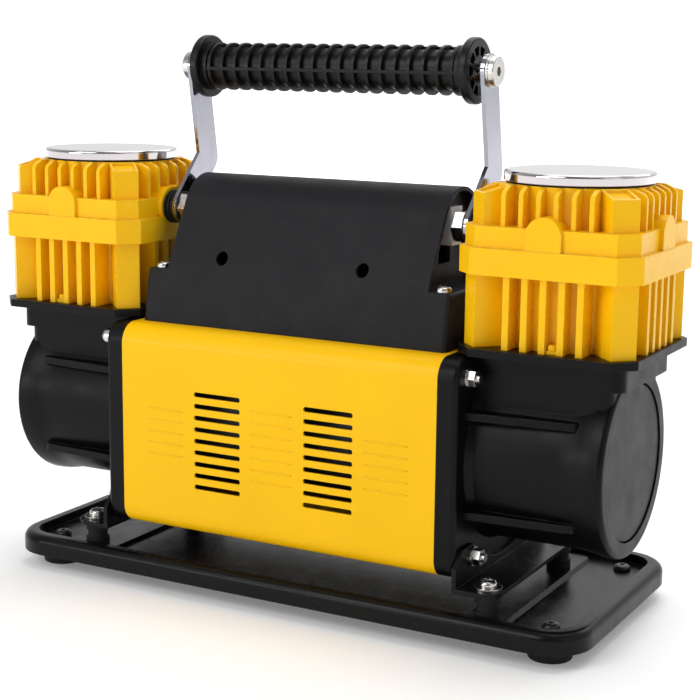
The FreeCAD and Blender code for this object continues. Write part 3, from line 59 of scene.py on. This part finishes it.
class Graph:
    """The node tree of a material or world, with a short way to add and join nodes."""

    def __init__(self, owner):
        owner.use_nodes = True
        self.tree = owner.node_tree
        self.tree.nodes.clear()
        self.coords = self.add("TexCoord").outputs
        self.place = self.coords["Object"]

    def put(self, socket, value):
        if isinstance(value, bpy.types.NodeSocket):
            self.tree.links.new(value, socket)
        elif socket.type == "RGBA" and len(value) == 3:
            socket.default_value = (*value, 1.0)
        else:
            socket.default_value = value

    def add(self, kind, settings=None, **inputs):
        node = self.tree.nodes.new("ShaderNode" + kind)
        for key, value in (settings or {}).items():
            setattr(node, key, value)
        for key, value in inputs.items():
            self.put(node.inputs[key.replace("_", " ")], value)
        return node

    def maths(self, operation, a, b):
        node = self.add("Math", {"operation": operation, "use_clamp": True})
        self.put(node.inputs[0], a)
        self.put(node.inputs[1], b)
        return node.outputs[0]

    def vector(self, operation, *vectors):
        node = self.add("VectorMath", {"operation": operation})
        for socket, value in zip(node.inputs, vectors):
            self.put(socket, value)
        return node.outputs["Value"]

    def remap(self, value, low, high, to_low=0.0, to_high=1.0):
        node = self.add("MapRange", None, Value=value, From_Min=low, From_Max=high,
                        To_Min=to_low, To_Max=to_high)
        return node.outputs[0]

    def mix(self, factor, a, b, kind="RGBA"):
        factor_at, a_at, b_at, result_at = MIX_SOCKETS[kind]
        node = self.add("Mix", {"data_type": kind})
        self.put(node.inputs[factor_at], factor)
        self.put(node.inputs[a_at], a)
        self.put(node.inputs[b_at], b)
        return node.outputs[result_at]

    def noise(self, scale, detail, stretch=None):
        where = self.place
        if stretch:
            where = self.add("Mapping", None, Vector=where, Scale=stretch).outputs[0]
        return self.add("TexNoise", None, Vector=where, Scale=scale, Detail=detail).outputs[0]

    def cells(self, scale):
        return self.add("TexVoronoi", None, Vector=self.place, Scale=scale).outputs["Distance"]

    def bump(self, height, depth_mm, normal):
        node = self.add("Bump", None, Strength=1.0, Distance=depth_mm * MM, Height=height,
                        Normal=normal)
        return node.outputs[0]


# ---- finishes ----
# Noise textures: (features per metre, detail).
COLOUR_DRIFT = (16.0, 4.0)
GLOSS_PATCHES = (70.0, 5.0)
# Where edges take their lighter colour: rubbed paint and painted edge highlight.
RUB_AND_HIGHLIGHT_PATCHES = (240.0, 4.0)
DUST_PATCHES = (150.0, 2.0)
GRAIN_DETAIL = 2.0
STREAK_NOISE = (1.0, 3.0)        # the streak's own stretch sets its size

# An edge is where the rounded normal leaves the true one: the cosine between them where rubbing
# and painted edge highlight start, and where they are full.
EDGE_START, EDGE_FULL = 0.985, 0.86
BEVEL_SAMPLES = 4
RUB_AND_HIGHLIGHT_RANGE = (0.42, 0.62)         # the noise values between which rubbing and painted edge highlight come in
RUB_AND_HIGHLIGHT_LIGHTENING = 1.6             # the shade of a rubbed edge with painted highlight, where a finish names no edge colour
LEAST_ROUGHNESS = 0.02

DUST_CELLS = 620.0               # cells per metre, each with at most one speck
SPECK_EDGE, SPECK_CORE = 0.13, 0.06
DUST_RANGE = (0.66, 0.7)         # the noise values between which dust comes in, less the share
DUST_COLOUR = (0.32, 0.31, 0.3)
DUST_OPACITY = 0.5
DUST_ROUGHNESS = 0.3

STREAK_DEPTH_MM = 0.006
STREAK_RANGE = (0.4, 0.7)
STREAK_ROUGHNESS = (-0.04, 0.08)


def shade_of(colour, factor):
    return tuple(min(1.0, c * factor) for c in colour)


def finish(name, colour, rough, metal=0.0, gloss=0.5, edge=None, edge_amount=0.35,
           round_edges=0.6, grain=(900.0, 0.01), grain_cells=False, mottle=0.06, smudge=0.06,
           streak=None, flecks=0.0):
    """A finish with soft colour drift, patchy gloss, surface grain, and edges lightened by
    rubbing and painted highlight.

    rough is the mean roughness and smudge how far it varies, gloss the specular level, edge and
    edge_amount the colour and strength of the rubbing and painted edge highlight, round_edges the
    edge radius in mm, grain (features per metre, depth in mm), grain_cells a pebbled grain,
    mottle the share by which the colour varies, streak the direction scale of brushing, and
    flecks the share of pale dust.
    """
    material = bpy.data.materials.new(name)
    g = Graph(material)
    soft_edge = g.add("Bevel", {"samples": BEVEL_SAMPLES}, Radius=round_edges * MM).outputs[0]
    true_normal = g.add("NewGeometry").outputs["Normal"]
    edge_mask = g.remap(g.vector("DOT_PRODUCT", soft_edge, true_normal), EDGE_START, EDGE_FULL)
    # Rubbing and painted highlight: patches along the edges take the lighter edge colour.
    rubbed_and_highlit = g.maths("MULTIPLY", edge_mask, g.remap(g.noise(*RUB_AND_HIGHLIGHT_PATCHES), *RUB_AND_HIGHLIGHT_RANGE))

    base = g.mix(g.remap(g.noise(*COLOUR_DRIFT), *NOISE_RANGE),
                 shade_of(colour, 1 - mottle), shade_of(colour, 1 + mottle))
    base = g.mix(g.maths("MULTIPLY", rubbed_and_highlit, edge_amount), base,
                 edge or shade_of(colour, RUB_AND_HIGHLIGHT_LIGHTENING))
    roughness = g.remap(g.noise(*GLOSS_PATCHES), *NOISE_RANGE,
                        max(LEAST_ROUGHNESS, rough - smudge), rough + smudge)
    if flecks:
        speck = g.remap(g.cells(DUST_CELLS), SPECK_EDGE, SPECK_CORE)
        dusty = g.remap(g.noise(*DUST_PATCHES), *(value - flecks for value in DUST_RANGE))
        dust = g.maths("MULTIPLY", speck, dusty)
        base = g.mix(g.maths("MULTIPLY", dust, DUST_OPACITY), base, DUST_COLOUR)
        roughness = g.maths("ADD", roughness, g.maths("MULTIPLY", dust, DUST_ROUGHNESS))

    grain_scale, grain_depth_mm = grain
    height = g.cells(grain_scale) if grain_cells else g.noise(grain_scale, GRAIN_DETAIL)
    normal = g.bump(height, grain_depth_mm, soft_edge)
    if streak:
        lines = g.noise(*STREAK_NOISE, streak)
        normal = g.bump(lines, STREAK_DEPTH_MM, normal)
        roughness = g.maths("ADD", roughness, g.remap(lines, *STREAK_RANGE, *STREAK_ROUGHNESS))

    shader = g.add("BsdfPrincipled", None, Base_Color=base, Metallic=metal, Roughness=roughness,
                   Specular_IOR_Level=gloss, Normal=normal)
    g.add("OutputMaterial", None, Surface=shader.outputs[0])
    return material


YELLOW = (0.9, 0.505, 0.003)
# Edge colours: rubbed paint, and painted edge highlight along the castings' and sheets' edges.
PALE_YELLOW = (0.95, 0.7, 0.2)
GREY_RUB_AND_HIGHLIGHT = (0.10, 0.10, 0.11)

FINISHES = {
    "yellow_casting": dict(colour=YELLOW, rough=0.28, gloss=0.16, edge=PALE_YELLOW,
                           edge_amount=0.5, round_edges=0.7, grain=(650.0, 0.02), mottle=0.04),
    "yellow_sheet": dict(colour=YELLOW, rough=0.32, gloss=0.14, edge=PALE_YELLOW,
                         round_edges=0.5, grain=(420.0, 0.008), mottle=0.025, smudge=0.04),
    "black_enamel": dict(colour=(0.0045, 0.0045, 0.005), rough=0.26, gloss=0.15, edge=GREY_RUB_AND_HIGHLIGHT,
                         grain=(500.0, 0.012), flecks=0.03),
    "black_casting": dict(colour=(0.0028, 0.0028, 0.003), rough=0.36, gloss=0.13, edge=GREY_RUB_AND_HIGHLIGHT,
                          round_edges=0.8, grain=(900.0, 0.02), flecks=0.03),
    "black_shroud": dict(colour=(0.012, 0.0117, 0.0137), rough=0.5, gloss=0.13, edge=GREY_RUB_AND_HIGHLIGHT,
                         edge_amount=0.2, round_edges=0.8, grain=(1500.0, 0.05),
                         grain_cells=True, flecks=0.04),
    "black_grip": dict(colour=(0.004, 0.004, 0.0045), rough=0.34, gloss=0.2, edge=GREY_RUB_AND_HIGHLIGHT,
                       edge_amount=0.2, round_edges=0.25, grain=(1400.0, 0.02), flecks=0.02),
    "black_gloss": dict(colour=(0.01, 0.01, 0.01), rough=0.16, grain=(400.0, 0.004)),
    "black_nylon": dict(colour=(0.014, 0.014, 0.014), rough=0.5, gloss=0.4,
                        grain=(1300.0, 0.02)),
    "black_rubber": dict(colour=(0.008, 0.008, 0.008), rough=0.7, gloss=0.3,
                         edge=(0.05, 0.05, 0.05), grain=(1100.0, 0.03), flecks=0.06),
    "black_steel": dict(colour=(0.03, 0.03, 0.033), rough=0.34, metal=0.6),
    "zinc_steel": dict(colour=(0.6, 0.58, 0.56), rough=0.22, metal=1.0, mottle=0.08,
                       edge=(0.9, 0.9, 0.9), round_edges=0.3, grain=(1800.0, 0.01), smudge=0.1),
    "chrome": dict(colour=(0.585, 0.55, 0.56), rough=0.06, metal=1.0, mottle=0.02,
                   edge=(0.95, 0.95, 0.95), round_edges=0.5, grain=(260.0, 0.002), smudge=0.03),
    "polished_steel": dict(colour=(0.33, 0.33, 0.375), rough=0.14, metal=1.0, mottle=0.03,
                           edge=(0.8, 0.8, 0.82), round_edges=0.3, grain=(300.0, 0.002),
                           streak=(2400, 2400, 60)),
    "bare_aluminium": dict(colour=(0.66, 0.67, 0.69), rough=0.5, metal=0.8,
                           edge=(0.8, 0.8, 0.8), grain=(1400.0, 0.01), streak=(60, 2600, 2600)),
    "brass": dict(colour=(0.75, 0.52, 0.2), rough=0.26, metal=1.0, grain=(1500.0, 0.006)),
    # Dark enough that the can shows black through the cover's vents: a black-painted can, and
    # painted shade inside the vents.
    "motor_steel": dict(colour=(0.02, 0.02, 0.021), rough=0.55, metal=0.3, mottle=0.1,
                        streak=(60, 2400, 2400)),
    "bearing_steel": dict(colour=(0.62, 0.62, 0.64), rough=0.16, metal=1.0,
                          grain=(1200.0, 0.003), streak=(2600, 80, 80)),
    "crank_iron": dict(colour=(0.22, 0.22, 0.23), rough=0.5, metal=0.9, mottle=0.12,
                       grain=(700.0, 0.03)),
    "magnet_ferrite": dict(colour=(0.06, 0.06, 0.065), rough=0.6, grain=(900.0, 0.03)),
    "copper_wire": dict(colour=(0.6, 0.2, 0.06), rough=0.3, metal=0.8, grain=(700.0, 0.04),
                        streak=(80, 2600, 2600)),
    "copper_bar": dict(colour=(0.72, 0.32, 0.16), rough=0.3, metal=1.0,
                       streak=(80, 2600, 2600)),
    "carbon": dict(colour=(0.03, 0.03, 0.03), rough=0.6, grain=(1500.0, 0.02)),
    "brown_insulation": dict(colour=(0.14, 0.06, 0.025), rough=0.5, mottle=0.15,
                             grain=(1000.0, 0.02)),
    "seal_white": dict(colour=(0.75, 0.73, 0.68), rough=0.5, grain=(800.0, 0.01)),
    "filter_foam": dict(colour=(0.06, 0.06, 0.06), rough=0.95, grain=(700.0, 0.3),
                        grain_cells=True),
}
# Nodes whose own finish is covered: these bolts are painted with their cylinders.
COVERED = {"cylinder_bolts": "yellow_casting"}


def make_finishes():
    return {slot: finish(slot, **values) for slot, values in FINISHES.items()}


def paint(obj, material):
    obj.data.materials.clear()
    obj.data.materials.append(material)


def paint_cad_nodes(finishes):
    for part in frame["record"]["subparts"]:
        name = part.get("node") or part["name"]
        paint(frame["nodes"][name], finishes[COVERED.get(name, part["material_slot"])])


# ---- small formed details: the shallow pressed lines of the cover, in mm ----
# Low and high X, top Z, and how many lines there are in the stack.
COVER_LINES = ((-86.5, -59.5, 112.3, 5), (-15.5, 15.0, 118.3, 7), (58.5, 88.5, 110.6, 5))
LINE_PITCH, LINE_HALF_W, LINE_RISE = 6.85, 0.75, 0.32
LINE_SINK = 0.08                 # how far the ridge's foot is set into the wall
LINE_STEPS, ARC_STEPS = 10, 6    # along the ridge, and over it
END_TAPER = 6.0                  # full height is reached within a sixth of the length
END_SWELL = 0.05                 # the share of the height left at an end
END_WIDTH = 0.4                  # the share of the width where there would be no height


def add_line(mesh, x0, x1, z, wall_y, outward):
    """One raised line on the cover: a low rounded ridge that sinks to nothing at its ends."""
    sections = []
    for step in range(LINE_STEPS + 1):
        along = step / LINE_STEPS
        swell = min(1.0, END_TAPER * min(along, 1.0 - along) + END_SWELL)
        x = x0 + (x1 - x0) * along
        ring = []
        for index in range(ARC_STEPS + 1):
            angle = math.pi * index / ARC_STEPS
            out = LINE_RISE * swell * math.sin(angle) - LINE_SINK
            across = LINE_HALF_W * (END_WIDTH + (1.0 - END_WIDTH) * swell) * math.cos(angle)
            ring.append(mesh.verts.new((x * MM, wall_y + outward * out * MM, (z + across) * MM)))
        sections.append(ring)
    for near, far in zip(sections, sections[1:]):
        for index in range(ARC_STEPS):
            mesh.faces.new((near[index], near[index + 1], far[index + 1], far[index]))
        mesh.faces.new((near[ARC_STEPS], near[0], far[0], far[ARC_STEPS]))
    mesh.faces.new(sections[0])
    mesh.faces.new(list(reversed(sections[-1])))


def cover_lines(name, wall_y, outward, material):
    shape = bmesh.new()
    for x0, x1, top_z, count in COVER_LINES:
        for index in range(count):
            add_line(shape, x0, x1, top_z - index * LINE_PITCH, wall_y, outward)
    bmesh.ops.recalc_face_normals(shape, faces=shape.faces)
    data = bpy.data.meshes.new(name)
    shape.to_mesh(data)
    shape.free()
    data.shade_smooth()
    obj = bpy.data.objects.new(name, data)
    SCENE.collection.objects.link(obj)
    paint(obj, material)
    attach(obj, "compressor")


def build_details(finishes):
    low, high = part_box("motor_cover")
    cover_lines("cover_lines_front", low.y, -1, finishes["yellow_sheet"])
    cover_lines("cover_lines_back", high.y, 1, finishes["yellow_sheet"])


# ---- studio ----
# Area lights: place, target, width and height, watts.
LIGHTS = {
    "front_softbox": ((-0.6, -1.7, 1.5), (0.0, 0.0, 0.15), (1.2, 1.0), 18.0),
    "fill_softbox": ((-1.15, -1.8, 0.5), (0.0, 0.0, 0.12), (0.9, 0.4), 7.5),
    "side_softbox": ((1.7, -0.5, 0.9), (0.0, 0.0, 0.15), (1.0, 1.0), 2.0),
    "top_softbox": ((0.1, 0.3, 1.8), (0.0, 0.0, 0.2), (1.4, 1.0), 13.0),
    "backdrop_lamp": ((0.4, 2.9, 2.2), (0.4, 2.7, 0.0), (3.5, 2.5), 45.0),
}

# The world's strength: as light from the front and from the back, and as the camera sees it.
SKY_FRONT, SKY_BACK, SKY_SEEN = 0.12, 0.95, 1.0

# The floor: half its width, its two shades and their noise (scale, detail), its surface, and its
# glow, which grows between two distances from the object.
FLOOR_HALF = 14.0
FLOOR_TONES = ((0.86, 0.86, 0.86), (0.89, 0.89, 0.89))
FLOOR_NOISE = (3.0, 3.0)
FLOOR_ROUGHNESS, FLOOR_GLOSS = 0.9, 0.1
GLOW_NEAR, GLOW_FAR = 0.9, 2.6
GLOW_RANGE = (0.16, 0.85)

# The camera, fitted to the photo.
LENS_MM, SENSOR_MM = 82.51, 36.0
CAMERA_PLACE = (0.4638, -0.8338, 0.3247)
CAMERA_RIGHT = (0.87693, 0.48050, 0.01080)
CAMERA_UP = (-0.09907, 0.15872, 0.98234)
CAMERA_BACK = (0.47030, -0.86251, 0.18679)


def build_lights():
    for name, (place, target, size, power) in LIGHTS.items():
        lamp = bpy.data.lights.new(name, "AREA")
        lamp.shape = "RECTANGLE"
        lamp.size, lamp.size_y = size
        lamp.energy = power
        obj = bpy.data.objects.new(name, lamp)
        SCENE.collection.objects.link(obj)
        obj.location = place
        facing = Vector(target) - Vector(place)
        obj.rotation_euler = facing.to_track_quat("-Z", "Y").to_euler()


def build_world():
    """Plain white to the camera; as a light, dim in front of the object and bright behind it."""
    world = bpy.data.worlds.new("studio")
    SCENE.world = world
    g = Graph(world)
    depth = g.add("SeparateXYZ", None, Vector=g.coords["Generated"]).outputs["Y"]
    seen = g.add("LightPath").outputs["Is Camera Ray"]
    strength = g.mix(seen, g.remap(depth, -1.0, 1.0, SKY_FRONT, SKY_BACK), SKY_SEEN, "FLOAT")
    sky = g.add("Background", None, Color=WHITE, Strength=strength)
    g.add("OutputWorld", None, Surface=sky.outputs[0])


def build_floor():
    """Pale paper on the ground that brightens outwards, so its edge melts into the backdrop."""
    mesh = bpy.data.meshes.new("floor")
    half = FLOOR_HALF
    mesh.from_pydata([(-half, -half, 0), (half, -half, 0), (half, half, 0), (-half, half, 0)],
                     [], [(0, 1, 2, 3)])
    floor = bpy.data.objects.new("floor", mesh)
    SCENE.collection.objects.link(floor)
    material = bpy.data.materials.new("floor_paper")
    g = Graph(material)
    tone = g.mix(g.noise(*FLOOR_NOISE), *FLOOR_TONES)
    glow = g.remap(g.vector("LENGTH", g.place), GLOW_NEAR, GLOW_FAR, *GLOW_RANGE)
    shader = g.add("BsdfPrincipled", None, Base_Color=tone, Roughness=FLOOR_ROUGHNESS,
                   Specular_IOR_Level=FLOOR_GLOSS, Emission_Color=WHITE, Emission_Strength=glow)
    g.add("OutputMaterial", None, Surface=shader.outputs[0])
    paint(floor, material)


def build_camera():
    camera = bpy.data.cameras.new("camera")
    camera.lens = LENS_MM
    camera.sensor_width = SENSOR_MM
    obj = bpy.data.objects.new("camera", camera)
    turn = Matrix((CAMERA_RIGHT, CAMERA_UP, CAMERA_BACK)).transposed().to_4x4()
    obj.matrix_world = Matrix.Translation(CAMERA_PLACE) @ turn
    SCENE.collection.objects.link(obj)
    SCENE.camera = obj
    SCENE.view_settings.view_transform = "Standard"


FINISH = make_finishes()
paint_cad_nodes(FINISH)
build_details(FINISH)
build_lights()
build_world()
build_floor()
build_camera()
